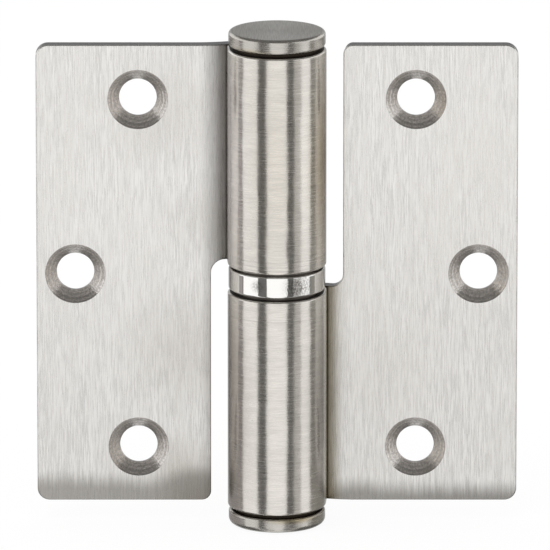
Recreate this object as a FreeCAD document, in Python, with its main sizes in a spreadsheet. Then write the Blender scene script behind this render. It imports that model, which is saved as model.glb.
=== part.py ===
import FreeCAD, Part

import math
import os

import Sketcher
from FreeCAD import Placement, Rotation, Vector

# Lift-off ball bearing butt hinge, open flat. Lengths in mm, angles in degrees.
# The pin axis is Z and the origin lies on it, half way up the bearing. The leaves spread
# along X, the countersinks face -Y, and +Y is the side that the leaves screw down on.
# Every turned piece is drawn as a half section of radius against height.

SIZES = {
    "leaf_height": 76.0,
    "leaf_reach": 39.0,  # pin axis to a leaf's outer edge
    "sheet_gauge": 2.5,
    "face_setback": 2.3,  # pin axis to the countersunk face
    "knuckle_radius": 8.0,
    "swage_angle": 20.0,  # slope of the sheet where it meets the knuckle
    "swage_bend": 17.5,  # inside radius of the bend that leads to it
    "seam_gap": 0.3,  # the knuckle's free end stays this far off the sheet
    "notch_reach": 10.7,  # pin axis to the edge beside the other leaf's knuckle
    "notch_corner": 2.2,
    "outer_corner": 2.0,
    "inner_corner": 1.5,
    "edge_ease": 0.25,  # bevel round both faces of the sheet
    "hole_width": 6.1,
    "sink_width": 9.8,
    "sink_angle": 90.0,
    "end_hole_reach": 22.5,  # pin axis to the two holes near the ends
    "end_hole_margin": 9.0,  # from their centres to the leaf's end
    "mid_hole_margin": 6.3,  # from its centre to the leaf's outer edge
    "bearing_space": 4.5,  # between the two knuckles
    "running_fit": 0.05,  # radial
    "pin_headroom": 4.0,  # from the pin's tip to the plug of the cap above it
    "pin_nose": 1.6,
    "rim_setback": 0.15,  # caps and bearing ring lie this far inside the knuckles' round
    "cap_button": 2.4,
    "cap_rim_bevel": 0.5,
    "cap_under_bevel": 0.45,
    "cap_groove": 0.6,  # dark gap between a cap's button and the knuckle
    "cap_groove_depth": 0.95,
    "cap_plug": 6.0,  # length pressed into the knuckle
    "pin_to_plug": 0.4,  # from the pin's foot to the plug of the cap below it
    "shell_lift": 0.55,  # gap between the lower knuckle and the shell
    "shell_gauge": 0.35,
    "shell_bevel": 0.3,
    "lip_width": 0.85,  # of each crimped end of the shell
    "lip_play": 0.15,  # between the upper race's flange and the lip over it
    "ball_width": 1.19,
    "ball_count": 11,
    "ball_fit": 0.02,  # between a ball and each race
    "cage_gauge": 0.5,
    "cage_fit": 0.1,
    "pocket_fit": 0.03,
}

# Places that several pieces share, as formulas on the sheet's cells.
BORE = "(sizes.knuckle_radius - sizes.sheet_gauge)"
RUNNING_PIN = f"({BORE} - sizes.running_fit)"
RIM_RADIUS = "(sizes.knuckle_radius - sizes.rim_setback)"
HALF_HEIGHT = "sizes.leaf_height / 2"
KNUCKLE_END = "sizes.bearing_space / 2"
SHELL_INSIDE = f"({RIM_RADIUS} - sizes.shell_gauge)"
LIP_RADIUS = f"({RIM_RADIUS} - sizes.lip_width)"
PITCH_RADIUS = f"({BORE} + {SHELL_INSIDE}) / 2"
RACE_FACE = "(sizes.ball_width / 2 + sizes.ball_fit)"
LIP_SEAT = f"({KNUCKLE_END} - sizes.shell_lift - sizes.shell_gauge)"
SHELL_HEIGHT = f"(2 * ({LIP_SEAT} + sizes.shell_gauge) + sizes.lip_play)"
PIN_FOOT = f"({HALF_HEIGHT} - sizes.cap_plug - sizes.pin_to_plug)"

TURNED_OVER = Rotation(Vector(0, 1, 0), 180)
TINY = 1e-4
START_RING = 10.0  # corners of a sketch start on a circle of this radius


def make_sheet(doc):
    """The driving sizes, one named cell each."""
    sheet = doc.addObject("Spreadsheet::Sheet", "sizes")
    for row, (alias, value) in enumerate(SIZES.items(), start=1):
        sheet.set(f"A{row}", alias)
        sheet.set(f"B{row}", str(value))
        sheet.setAlias(f"B{row}", alias)
    doc.recompute()
    return sheet


def sketch_on(body, role, name):
    """A sketch on one of the body's own origin planes."""
    sketch = body.newObject("Sketcher::SketchObject", name)
    plane = next(f for f in body.Origin.OriginFeatures if f.Role == role)
    sketch.AttachmentSupport = [(plane, "")]
    sketch.MapMode = "FlatFace"
    return sketch


def hold(sketch, name, expression, *constraint):
    """Add a named dimension to the sketch and bind it to the sheet."""
    index = sketch.addConstraint(Sketcher.Constraint(*constraint))
    sketch.renameConstraint(index, name)
    sketch.setExpression(f"Constraints.{name}", expression)


def closed_outline(sketch, corners):
    """Straight lines round the corners, each corner dimensioned from the origin.

    A corner is a pair of formulas, across and up. The corners start in order round a
    circle that keeps clear of both axes, and their dimensions pull them into place.
    """
    count = len(corners)
    middle = Vector(2 * START_RING, 2 * START_RING, 0)
    turns = [2 * math.pi * i / count for i in range(count)]
    start = [middle + Vector(math.cos(a), math.sin(a), 0) * START_RING for a in turns]
    for i in range(count):
        sketch.addGeometry(Part.LineSegment(start[i], start[(i + 1) % count]))
    for i in range(count):
        following = (i + 1) % count
        sketch.addConstraint(Sketcher.Constraint("Coincident", i, 2, following, 1))
    for i, (across, up) in enumerate(corners):
        here = start[i]
        hold(sketch, f"across_{i}", across, "DistanceX", -1, 1, i, 1, here.x)
        hold(sketch, f"up_{i}", up, "DistanceY", -1, 1, i, 1, here.y)


def edges_where(feature, test):
    """Names of the feature's edges that pass the test, for a fillet or a chamfer."""
    found = [f"Edge{i}" for i, edge in enumerate(feature.Shape.Edges, start=1) if test(edge)]
    if not found:
        raise RuntimeError(f"no edge of {feature.Name} is where a finish was planned")
    return found


def finish_edges(body, kind, name, size_name, expression, test):
    """Fillet or chamfer the edges of the body's tip that pass the test."""
    body.Document.recompute()
    base = body.Tip
    feature = body.newObject(kind, name)
    feature.Base = (base, edges_where(base, test))
    feature.setExpression(size_name, expression)
    body.Document.recompute()
    return feature


def new_body(doc, label, lift=None, turned_over=False):
    """A body with its label, turned over about Y if asked, then lifted along the pin axis."""
    body = doc.addObject("PartDesign::Body", label)
    body.Label = label
    if turned_over:
        body.Placement = Placement(Vector(), TURNED_OVER)
    if lift:
        body.setExpression("Placement.Base.z", lift)
    return body


def revolved(body, name, corners):
    """Turn a half section about the pin axis."""
    sketch = sketch_on(body, "XZ_Plane", f"{name}_section")
    closed_outline(sketch, corners)
    solid = body.newObject("PartDesign::Revolution", name)
    solid.Profile = sketch
    solid.ReferenceAxis = (sketch, ["V_Axis"])
    body.Document.recompute()
    return solid


def fold_outline(body):
    """The leaf seen along the pin: plate, swage, and the knuckle rolled round the bore.

    The sheet rises from its flat part at the swage angle, meets the knuckle's circles
    where it is tangent to them, and goes on round until the free end nears the sheet.
    """
    sketch = sketch_on(body, "XY_Plane", "fold")
    gauge = SIZES["sheet_gauge"]
    setback = SIZES["face_setback"]
    outer = SIZES["knuckle_radius"]
    bore = outer - gauge
    slope = math.radians(SIZES["swage_angle"])
    bend = SIZES["swage_bend"]
    normal = Vector(-math.sin(slope), math.cos(slope), 0)
    seam = slope + math.pi / 2 + math.acos((bore - SIZES["seam_gap"]) / outer)
    tangent_end = slope + 2.5 * math.pi
    toward_seam = Vector(math.cos(seam), math.sin(seam), 0)

    # The bend's centre lies its own radius off the flat part's back and off the slope's.
    centre_y = setback + gauge + bend
    centre_x = (outer + bend - centre_y * normal.y) / normal.x
    if centre_x > 0:
        raise RuntimeError("the swage bend reaches past the pin axis")
    centre = Vector(centre_x, centre_y, 0)
    bend_from = 1.5 * math.pi
    bend_to = bend_from + slope
    edge_x = -SIZES["leaf_reach"]
    face_edge = Vector(edge_x, setback, 0)
    face_fold = Vector(centre_x, setback, 0)
    back_edge = Vector(edge_x, setback + gauge, 0)
    back_fold = Vector(centre_x, setback + gauge, 0)

    def arc(middle, radius, start, end):
        return Part.ArcOfCircle(Part.Circle(middle, Vector(0, 0, 1), radius), start, end)

    face_bend = centre - normal * (bend + gauge)
    back_bend = centre - normal * bend
    shapes = [
        Part.LineSegment(face_edge, face_fold),
        arc(centre, bend + gauge, bend_from, bend_to),
        Part.LineSegment(face_bend, normal * bore),
        arc(Vector(), bore, seam, tangent_end),
        Part.LineSegment(toward_seam * bore, toward_seam * outer),
        arc(Vector(), outer, seam, tangent_end),
        Part.LineSegment(normal * outer, back_bend),
        arc(centre, bend, bend_from, bend_to),
        Part.LineSegment(back_fold, back_edge),
        Part.LineSegment(back_edge, face_edge),
    ]
    face, face_arc, face_slope, bore_arc, seam_end = range(5)
    knuckle_arc, back_slope, back_arc, back, plate_end = range(5, 10)
    sketch.addGeometry(shapes)
    # Each row joins an end of one line or arc smoothly to an end of the next.
    smooth = [
        (face, 2, face_arc, 1),
        (face_arc, 2, face_slope, 1),
        (face_slope, 2, bore_arc, 2),
        (knuckle_arc, 2, back_slope, 1),
        (back_slope, 2, back_arc, 2),
        (back_arc, 1, back, 1),
    ]
    sharp = [
        (bore_arc, 1, seam_end, 1),
        (seam_end, 2, knuckle_arc, 1),
        (back, 2, plate_end, 1),
        (plate_end, 2, face, 1),
        (bore_arc, 3, -1, 1),
        (knuckle_arc, 3, -1, 1),
        (face_arc, 3, back_arc, 3),
    ]
    for ends in smooth:
        sketch.addConstraint(Sketcher.Constraint("Tangent", *ends))
    for ends in sharp:
        sketch.addConstraint(Sketcher.Constraint("Coincident", *ends))
    sketch.addConstraint(Sketcher.Constraint("Horizontal", face))
    sketch.addConstraint(Sketcher.Constraint("Horizontal", back))
    sketch.addConstraint(Sketcher.Constraint("Vertical", plate_end))
    sketch.addConstraint(Sketcher.Constraint("PointOnObject", -1, 1, seam_end))
    hold(sketch, "setback", "sizes.face_setback", "DistanceY", -1, 1, face, 1, setback)
    hold(sketch, "gauge", "sizes.sheet_gauge", "DistanceY", face, 1, back, 2, gauge)
    hold(sketch, "reach", "sizes.leaf_reach", "DistanceX", face, 1, -1, 1, -edge_x)
    hold(sketch, "bore", BORE, "Radius", bore_arc, bore)
    hold(sketch, "knuckle", "sizes.knuckle_radius", "Radius", knuckle_arc, outer)
    hold(sketch, "bend", "sizes.swage_bend", "Radius", back_arc, bend)
    hold(sketch, "slope", "sizes.swage_angle * 1 deg", "Angle", face_slope, slope)
    gap = SIZES["seam_gap"]
    hold(sketch, "seam", "sizes.seam_gap", "Distance", knuckle_arc, 1, face_slope, gap)
    return sketch


def make_leaf(doc, label, turned_over):
    """One folded sheet: plate, swage and rolled knuckle, notched beside the other knuckle.

    In the body's own frame the leaf spreads towards -X, stands on z = 0 and carries the
    knuckle in its upper half. The lower leaf is the same piece turned over.
    """
    lift = HALF_HEIGHT if turned_over else f"-{HALF_HEIGHT}"
    body = new_body(doc, label, lift, turned_over)
    strip = body.newObject("PartDesign::Pad", "folded_strip")
    strip.Profile = fold_outline(body)
    strip.setExpression("Length", "sizes.leaf_height")
    doc.recompute()
    whole = strip.Shape.Volume

    # The notch clears the other knuckle and the bearing, from the strip's foot upwards.
    notch_sketch = sketch_on(body, "XZ_Plane", "notch_outline")
    notch_top = f"{HALF_HEIGHT} + {KNUCKLE_END}"
    past_knuckle = "sizes.knuckle_radius + 1"
    below_foot = "-1"
    closed_outline(
        notch_sketch,
        [
            ("-sizes.notch_reach", below_foot),
            (past_knuckle, below_foot),
            (past_knuckle, notch_top),
            ("-sizes.notch_reach", notch_top),
        ],
    )
    notch = body.newObject("PartDesign::Pocket", "notch")
    notch.Profile = notch_sketch
    notch.Type = "ThroughAll"
    notch.SideType = "Symmetric"
    doc.recompute()
    if notch.Shape.Volume > 0.9 * whole:
        raise RuntimeError(f"the notch of {label} cuts nothing")

    def corner_at(across, height):
        def test(edge):
            middle = edge.BoundBox.Center
            upright = abs(edge.tangentAt(edge.FirstParameter).y) > 1 - TINY
            near = abs(middle.x + across) < TINY and abs(middle.z - height) < TINY
            return upright and near

        return test

    tall = SIZES["leaf_height"]
    reach = SIZES["leaf_reach"]
    notch_reach = SIZES["notch_reach"]
    knuckle_foot = (tall + SIZES["bearing_space"]) / 2
    fillet = "PartDesign::Fillet"
    finish_edges(
        body, fillet, "outer_corners", "Radius", "sizes.outer_corner",
        lambda edge: corner_at(reach, 0)(edge) or corner_at(reach, tall)(edge),
    )
    finish_edges(
        body, fillet, "inner_corner", "Radius", "sizes.inner_corner", corner_at(notch_reach, 0)
    )
    finish_edges(
        body, fillet, "notch_corner", "Radius", "sizes.notch_corner",
        corner_at(notch_reach, knuckle_foot),
    )

    # The blanked edges of the sheet are eased all round both of its faces.
    def on_plate_end(edge):
        box = edge.BoundBox
        level = box.ZLength < TINY and (box.ZMin < TINY or box.ZMax > tall - TINY)
        return level and box.YLength < TINY

    finish_edges(
        body, "PartDesign::Chamfer", "eased_edges", "Size", "sizes.edge_ease", on_plate_end
    )

    # Three countersunk holes, drilled from the face that turns away from the wall.
    hole_sketch = sketch_on(body, "XZ_Plane", "hole_centres")
    hole_sketch.setExpression("AttachmentOffset.Base.z", "-sizes.face_setback")
    centres = [
        ("-sizes.end_hole_reach", "sizes.leaf_height - sizes.end_hole_margin"),
        ("-sizes.end_hole_reach", "sizes.end_hole_margin"),
        ("sizes.mid_hole_margin - sizes.leaf_reach", HALF_HEIGHT),
    ]
    spot = Vector(-SIZES["end_hole_reach"], tall / 2, 0)
    for i, (across, up) in enumerate(centres):
        hole_sketch.addGeometry(Part.Circle(spot, Vector(0, 0, 1), SIZES["hole_width"] / 2))
        hold(hole_sketch, f"across_{i}", across, "DistanceX", -1, 1, i, 3, spot.x)
        hold(hole_sketch, f"up_{i}", up, "DistanceY", -1, 1, i, 3, spot.y)
        hold(hole_sketch, f"wide_{i}", "sizes.hole_width", "Diameter", i, SIZES["hole_width"])
    doc.recompute()
    undrilled = body.Tip.Shape.Volume
    holes = body.newObject("PartDesign::Hole", "screw_holes")
    holes.Profile = hole_sketch
    doc.recompute()
    holes.ThreadType = "None"
    holes.DepthType = "ThroughAll"
    holes.HoleCutType = "Countersink"
    holes.HoleCutCustomValues = True
    holes.setExpression("Diameter", "sizes.hole_width")
    holes.setExpression("HoleCutDiameter", "sizes.sink_width")
    holes.setExpression("HoleCutCountersinkAngle", "sizes.sink_angle * 1 deg")
    doc.recompute()
    drilled = math.pi * (SIZES["hole_width"] / 2) ** 2 * SIZES["sheet_gauge"] * len(centres)
    if undrilled - holes.Shape.Volume < drilled:
        raise RuntimeError(f"the holes of {label} don't go through")
    return body


def make_pin(doc):
    """Pressed into the lower knuckle, relieved by the running fit above it, nosed on top."""
    body = new_body(doc, "hinge_pin", f"-{PIN_FOOT}")
    step = f"{PIN_FOOT} - {KNUCKLE_END}"
    top = f"{PIN_FOOT} + {HALF_HEIGHT} - sizes.cap_plug - sizes.pin_headroom"
    corners = [
        ("0", "0"),
        (BORE, "0"),
        (BORE, step),
        (RUNNING_PIN, step),
        (RUNNING_PIN, f"{top} - sizes.pin_nose"),
        (f"{RUNNING_PIN} - sizes.pin_nose", top),
        ("0", top),
    ]
    revolved(body, "turned_pin", corners)
    return body


def make_cap(doc, label, turned_over):
    """A button on a neck that leaves the groove, and a plug pressed into the knuckle."""
    lift = f"-{HALF_HEIGHT}" if turned_over else HALF_HEIGHT
    body = new_body(doc, label, lift, turned_over)
    groove = "sizes.cap_groove"
    neck = f"{RIM_RADIUS} - sizes.cap_groove_depth"
    top = f"{groove} + sizes.cap_button"
    corners = [
        ("0", "-sizes.cap_plug"),
        (BORE, "-sizes.cap_plug"),
        (BORE, "0"),
        (neck, "0"),
        (neck, groove),
        (f"{RIM_RADIUS} - sizes.cap_under_bevel", groove),
        (RIM_RADIUS, f"{groove} + sizes.cap_under_bevel"),
        (RIM_RADIUS, f"{top} - sizes.cap_rim_bevel"),
        (f"{RIM_RADIUS} - sizes.cap_rim_bevel", top),
        ("0", top),
    ]
    revolved(body, "turned_cap", corners)
    return body


def make_shell(doc):
    """The polished ring: a thin band crimped inwards at both ends to hold the races."""
    body = new_body(doc, "bearing_shell", f"sizes.shell_lift - {KNUCKLE_END}")
    corners = [
        (LIP_RADIUS, "0"),
        (f"{RIM_RADIUS} - sizes.shell_bevel", "0"),
        (RIM_RADIUS, "sizes.shell_bevel"),
        (RIM_RADIUS, f"{SHELL_HEIGHT} - sizes.shell_bevel"),
        (f"{RIM_RADIUS} - sizes.shell_bevel", SHELL_HEIGHT),
        (LIP_RADIUS, SHELL_HEIGHT),
        (LIP_RADIUS, f"{SHELL_HEIGHT} - sizes.shell_gauge"),
        (SHELL_INSIDE, f"{SHELL_HEIGHT} - sizes.shell_gauge"),
        (SHELL_INSIDE, "sizes.shell_gauge"),
        (LIP_RADIUS, "sizes.shell_gauge"),
    ]
    revolved(body, "crimped_band", corners)
    return body


def make_race(doc, label, turned_over):
    """A hardened washer: a flat face for the balls, a flange under the shell's lip, and a
    boss that bears on the knuckle."""
    body = new_body(doc, label, turned_over=turned_over)
    flange = f"{SHELL_INSIDE} - sizes.running_fit"
    boss = f"{LIP_RADIUS} - sizes.running_fit"
    corners = [
        (BORE, RACE_FACE),
        (flange, RACE_FACE),
        (flange, LIP_SEAT),
        (boss, LIP_SEAT),
        (boss, KNUCKLE_END),
        (BORE, KNUCKLE_END),
    ]
    revolved(body, "turned_race", corners)
    return body


def make_cage(doc):
    """A flat ring with one pocket for each ball."""
    body = new_body(doc, "ball_cage")
    half = "sizes.cage_gauge / 2"
    inside = f"{BORE} + sizes.cage_fit"
    outside = f"{SHELL_INSIDE} - sizes.cage_fit"
    corners = [
        (inside, f"-{half}"),
        (outside, f"-{half}"),
        (outside, half),
        (inside, half),
    ]
    ring = revolved(body, "flat_ring", corners)
    whole = ring.Shape.Volume
    pocket_sketch = sketch_on(body, "XY_Plane", "pocket_outline")
    radius = SIZES["ball_width"] / 2 + SIZES["pocket_fit"]
    spot = Vector(SIZES["knuckle_radius"], 0, 0)
    pocket_sketch.addGeometry(Part.Circle(spot, Vector(0, 0, 1), radius))
    hold(pocket_sketch, "pitch", PITCH_RADIUS, "DistanceX", -1, 1, 0, 3, spot.x)
    pocket_sketch.addConstraint(Sketcher.Constraint("PointOnObject", 0, 3, -1))
    width = "sizes.ball_width / 2 + sizes.pocket_fit"
    hold(pocket_sketch, "radius", width, "Radius", 0, radius)
    pocket = body.newObject("PartDesign::Pocket", "ball_pocket")
    pocket.Profile = pocket_sketch
    pocket.Type = "ThroughAll"
    pocket.SideType = "Symmetric"
    doc.recompute()
    pockets = body.newObject("PartDesign::PolarPattern", "ball_pockets")
    pockets.Originals = [pocket]
    pockets.Axis = (pocket_sketch, ["N_Axis"])
    pockets.Angle = 360
    pockets.setExpression("Occurrences", "sizes.ball_count")
    body.Tip = pockets
    doc.recompute()
    count = SIZES["ball_count"]
    if whole - pockets.Shape.Volume < (count - 0.5) * (whole - pocket.Shape.Volume):
        raise RuntimeError("the cage lacks pockets")
    return body


def make_ball(doc, number):
    """One bearing ball, in its pocket on the pitch circle."""
    ball = doc.addObject("Part::Sphere", f"ball_{number:02d}")
    ball.Label = f"ball_{number:02d}"
    angle = f"{number - 1} * 360 / sizes.ball_count"
    ball.setExpression("Radius", "sizes.ball_width / 2")
    ball.setExpression("Placement.Base.x", f"{PITCH_RADIUS} * cos({angle})")
    ball.setExpression("Placement.Base.y", f"{PITCH_RADIUS} * sin({angle})")
    return ball


def check_document(doc, pieces):
    """Stop if any object failed or any piece isn't one sound solid."""
    for item in doc.Objects:
        if "Invalid" in item.State or "Error" in item.State:
            raise RuntimeError(f"{item.Name} failed: {item.State}")
    for piece in pieces:
        shape = piece.Shape
        if shape.isNull() or not shape.isValid() or len(shape.Solids) != 1:
            raise RuntimeError(f"{piece.Label} isn't one valid solid")


def main():
    doc = FreeCAD.newDocument("ball_bearing_butt_hinge")
    make_sheet(doc)
    pieces = [
        make_leaf(doc, "upper_leaf", turned_over=False),
        make_leaf(doc, "lower_leaf", turned_over=True),
        make_pin(doc),
        make_cap(doc, "top_cap", turned_over=False),
        make_cap(doc, "bottom_cap", turned_over=True),
        make_shell(doc),
        make_race(doc, "bearing_upper_race", turned_over=False),
        make_race(doc, "bearing_lower_race", turned_over=True),
        make_cage(doc),
    ]
    pieces += [make_ball(doc, number) for number in range(1, SIZES["ball_count"] + 1)]
    doc.recompute()
    check_document(doc, pieces)
    os.makedirs("parts", exist_ok=True)
    for piece in pieces:
        piece.Shape.exportStep(f"parts/{piece.Label}.step")
        box = piece.Shape.BoundBox
        print(
            f"{piece.Label}: volume {piece.Shape.Volume:.2f}, x {box.XMin:.2f} {box.XMax:.2f},"
            f" y {box.YMin:.2f} {box.YMax:.2f}, z {box.ZMin:.2f} {box.ZMax:.2f}"
        )


main()
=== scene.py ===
"""Lift-off ball bearing butt hinge, opened flat, in brushed and polished stainless steel.

Lengths are in metres and angles in radians, except that the settings' defaults and the grain,
marks and depths of the finishes are written in millimetres and degrees. The pin axis is Z,
the leaves spread along X and their countersunk faces look along -Y, as in the frame.
"""

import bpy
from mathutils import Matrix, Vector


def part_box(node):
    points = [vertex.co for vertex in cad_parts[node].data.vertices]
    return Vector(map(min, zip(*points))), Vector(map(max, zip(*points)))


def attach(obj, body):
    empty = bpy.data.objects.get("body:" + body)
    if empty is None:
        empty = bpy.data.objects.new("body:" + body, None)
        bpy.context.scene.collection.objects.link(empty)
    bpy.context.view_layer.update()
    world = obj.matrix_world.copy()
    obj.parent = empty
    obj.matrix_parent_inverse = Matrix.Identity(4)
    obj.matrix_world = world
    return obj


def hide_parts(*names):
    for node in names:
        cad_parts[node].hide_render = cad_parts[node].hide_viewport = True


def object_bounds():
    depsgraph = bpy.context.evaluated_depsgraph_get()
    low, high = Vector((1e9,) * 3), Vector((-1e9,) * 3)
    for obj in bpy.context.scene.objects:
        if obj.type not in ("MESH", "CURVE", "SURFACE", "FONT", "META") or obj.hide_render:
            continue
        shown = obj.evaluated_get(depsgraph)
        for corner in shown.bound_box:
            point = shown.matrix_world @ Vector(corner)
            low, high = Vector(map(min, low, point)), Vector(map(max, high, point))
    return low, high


bl_info = {
    "name": "Ball Bearing Butt Hinge",
    "version": (1, 0, 0),
    "blender": (4, 5, 0),
    "location": "3D View > Sidebar > Hinge",
    "description": "Builds a lift-off ball bearing butt hinge and its photo studio",
    "category": "Object",
}

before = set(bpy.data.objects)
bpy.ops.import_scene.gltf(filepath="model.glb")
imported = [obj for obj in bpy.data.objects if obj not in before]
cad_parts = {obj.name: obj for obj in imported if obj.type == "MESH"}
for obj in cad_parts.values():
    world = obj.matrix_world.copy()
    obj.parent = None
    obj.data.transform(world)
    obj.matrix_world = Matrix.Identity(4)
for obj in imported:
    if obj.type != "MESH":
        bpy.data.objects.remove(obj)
cad_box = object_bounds()

import math

import bmesh
import bpy
import numpy as np
from bpy.props import FloatProperty, FloatVectorProperty, IntProperty, PointerProperty
from bpy.types import Operator, Panel, PropertyGroup
from mathutils import Vector, geometry

MM = 0.001
UP = np.array([0.0, 0.0, 1.0])
ARC_STEPS = 5  # faces along a profile's rounded corner
AROUND = 144  # faces round a turned piece
WELD = 1e-7  # points nearer than this are one point
FAR = 1.0  # a corner that a profile only comes from or goes to
BALLS = sorted(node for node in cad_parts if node.startswith("ball_") and node != "ball_cage")

# Shapes


def unit(vectors):
    """Vectors in the same directions, one metre long."""
    return vectors / np.linalg.norm(vectors, axis=-1, keepdims=True)


def circle(count):
    """Points spread evenly round a circle with a radius of one metre."""
    angle = np.linspace(0, 2 * math.pi, count, endpoint=False)
    return np.stack([np.cos(angle), np.sin(angle)], axis=1)


def section(corners, radii, closed=False, steps=ARC_STEPS):
    """Round a profile's corners: returns its points and their outward normals.

    The solid is on the left as the profile runs. Each corner becomes an arc whose normals
    turn evenly from one straight's to the next, so straights and arcs meet smoothly.
    """
    corners = np.array(corners, dtype=float)
    radii = np.broadcast_to(np.array(radii, dtype=float), len(corners))
    before, here, after = np.roll(corners, 1, axis=0), corners, np.roll(corners, -1, axis=0)
    if not closed:
        before, here, after, radii = (rows[1:-1] for rows in (before, here, after, radii))
    arriving, leaving = unit(here - before), unit(after - here)
    cross = arriving[:, 0] * leaving[:, 1] - arriving[:, 1] * leaving[:, 0]
    turn = np.arctan2(cross, (arriving * leaving).sum(axis=1))
    first_normal = np.stack([arriving[:, 1], -arriving[:, 0]], axis=1)
    angle = np.arctan2(first_normal[:, 1], first_normal[:, 0])[:, None]
    angle = angle + turn[:, None] * np.linspace(0, 1, steps + 1)
    normals = np.stack([np.cos(angle), np.sin(angle)], axis=-1)
    bulge = (np.sign(turn) * radii)[:, None]
    trim = (radii * np.tan(np.abs(turn) / 2))[:, None]
    centres = here - arriving * trim - first_normal * bulge
    points = centres[:, None] + normals * bulge[:, None]
    points, normals = points.reshape(-1, 2), normals.reshape(-1, 2)
    if not closed:
        points = np.concatenate([corners[[0]], points, corners[[-1]]])
        normals = np.concatenate([normals[[0]], normals, normals[[-1]]])
    return points, normals


def grid_faces(rows, columns, wrap_rows=False, wrap_columns=True):
    """Four-cornered faces between neighbours in a grid of points, row by row."""
    row, column = np.meshgrid(
        np.arange(rows if wrap_rows else rows - 1),
        np.arange(columns if wrap_columns else columns - 1),
        indexing="ij",
    )
    next_row, next_column = (row + 1) % rows, (column + 1) % columns
    corners = [(row, column), (row, next_column), (next_row, next_column), (next_row, column)]
    return np.stack([down * columns + over for down, over in corners], axis=-1).reshape(-1, 4)


class Patches:
    """Collects patches of points, normals and faces, and welds them into one closed mesh."""

    def __init__(self):
        self.parts, self.faces, self.count = [], [], 0

    def add(self, points, normals, faces, finishes, offsets=None):
        """Add a patch, with each face turned so that it looks the way its normals do."""
        points, normals = points.reshape(-1, 3), normals.reshape(-1, 3)
        offsets = np.zeros_like(points) if offsets is None else offsets.reshape(-1, 3)
        across = points[faces[:, 1]] - points[faces[:, 0]]
        along = points[faces[:, -1]] - points[faces[:, 0]]
        corner = points[faces[:, 2]] - points[faces[:, 0]]
        facing = np.cross(across, corner) + np.cross(corner, along)
        turned = (facing * normals[faces].mean(axis=1)).sum(axis=1) < 0
        faces = np.where(turned[:, None], faces[:, ::-1], faces)
        finishes = np.broadcast_to(finishes, len(faces))
        self.parts.append((points, normals, offsets, finishes))
        self.faces += (faces + self.count).tolist()
        self.count += len(points)

    def piece(self, node, suffix, materials, body, slot):
        """Make the object, weld its seams and poles, and stand it in for its node."""
        name = f"{node}_{suffix}"
        points, normals, offsets, finishes = map(np.concatenate, zip(*self.parts))
        mesh = bpy.data.meshes.new(name)
        mesh.from_pydata(points, [], self.faces)
        for material in materials:
            mesh.materials.append(material)
        mesh.polygons.foreach_set("material_index", finishes.astype(np.int32))
        mesh.polygons.foreach_set("use_smooth", np.ones(len(finishes), dtype=bool))
        for label, rows in (("true_normal", normals), (HOLE_OFFSET, offsets)):
            kept = mesh.attributes.new(label, "FLOAT_VECTOR", "POINT")
            kept.data.foreach_set("vector", rows.astype(np.float32).ravel())
        welded = bmesh.new()
        welded.from_mesh(mesh)
        bmesh.ops.remove_doubles(welded, verts=welded.verts, dist=WELD)
        bmesh.ops.dissolve_degenerate(welded, edges=welded.edges, dist=WELD)
        welded.to_mesh(mesh)
        welded.free()
        normals = np.empty(len(mesh.vertices) * 3, dtype=np.float32)
        mesh.attributes["true_normal"].data.foreach_get("vector", normals)
        mesh.normals_split_custom_set_from_vertices(normals.reshape(-1, 3))
        mesh.attributes.remove(mesh.attributes["true_normal"])
        made = bpy.data.objects.new(name, mesh)
        bpy.context.scene.collection.objects.link(made)
        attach(made, body)
        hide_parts(node)


def turned(profile, normals, finishes=0, closed=False, around=AROUND, centre=(0, 0, 0)):
    """Turn a section of radius and height about an upright axis through the centre."""
    spoke = np.pad(circle(around), ((0, 0), (0, 1)))
    points = profile[:, None, [0]] * spoke + profile[:, None, [1]] * UP + np.array(centre)
    facing = normals[:, None, [0]] * spoke + normals[:, None, [1]] * UP
    faces = grid_faces(len(profile), around, wrap_rows=closed)
    finishes = np.repeat(np.broadcast_to(finishes, len(faces) // around), around)
    patches = Patches()
    patches.add(points, facing, faces, finishes)
    return patches


def circle_loop(centre, radius, count=96):
    """A hole's edge in the blank: points, and normals that point into the hole."""
    spoke = circle(count)
    return np.array(centre) + radius * spoke, -spoke


def wall_section(corners, radii, steps=ARC_STEPS):
    """A wall's profile and normals, without the far corners that it comes from and goes to."""
    far = [(-FAR, corners[0][1]), *corners, (-FAR, corners[-1][1])]
    profile, tilt = section(far, radii, steps=steps)
    return profile[1:-1], tilt[1:-1]


def inside_loops(spots, loops):
    """Which spots lie in the sheet: a line to a side crosses the loops an odd number of times."""
    starts = np.concatenate(loops)
    ends = np.concatenate([np.roll(loop, -1, axis=0) for loop in loops])
    rise = ends[:, 1] - starts[:, 1]
    slope = (ends[:, 0] - starts[:, 0]) / np.where(rise == 0, 1, rise)
    x, y = spots[:, [0]], spots[:, [1]]
    spans = (starts[:, 1] > y) != (ends[:, 1] > y)
    crossed = spans & (x < starts[:, 0] + (y - starts[:, 1]) * slope)
    return crossed.sum(axis=1) % 2 == 1


def fill_blank(loops, links):
    """Triangles that fill the outer loop and leave the holes open.

    The triangulation is Delaunay's, with the loops and the links between their points kept
    as edges. The triangles whose middles lie outside the sheet are left out.
    """
    points = np.concatenate(loops)
    edges = list(links)
    start = 0
    for loop in loops:
        here = start + np.arange(len(loop))
        edges += np.stack([here, np.roll(here, -1)], axis=1).tolist()
        start += len(loop)
    scaled = [Vector(point) for point in (points / MM).tolist()]
    found = geometry.delaunay_2d_cdt(scaled, edges, [], 0, 1e-5, True)
    origin = np.array([source[0] for source in found[3]])
    triangles = origin[np.array(found[2])]
    return triangles[inside_loops(points[triangles].mean(axis=1), loops)]


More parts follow.
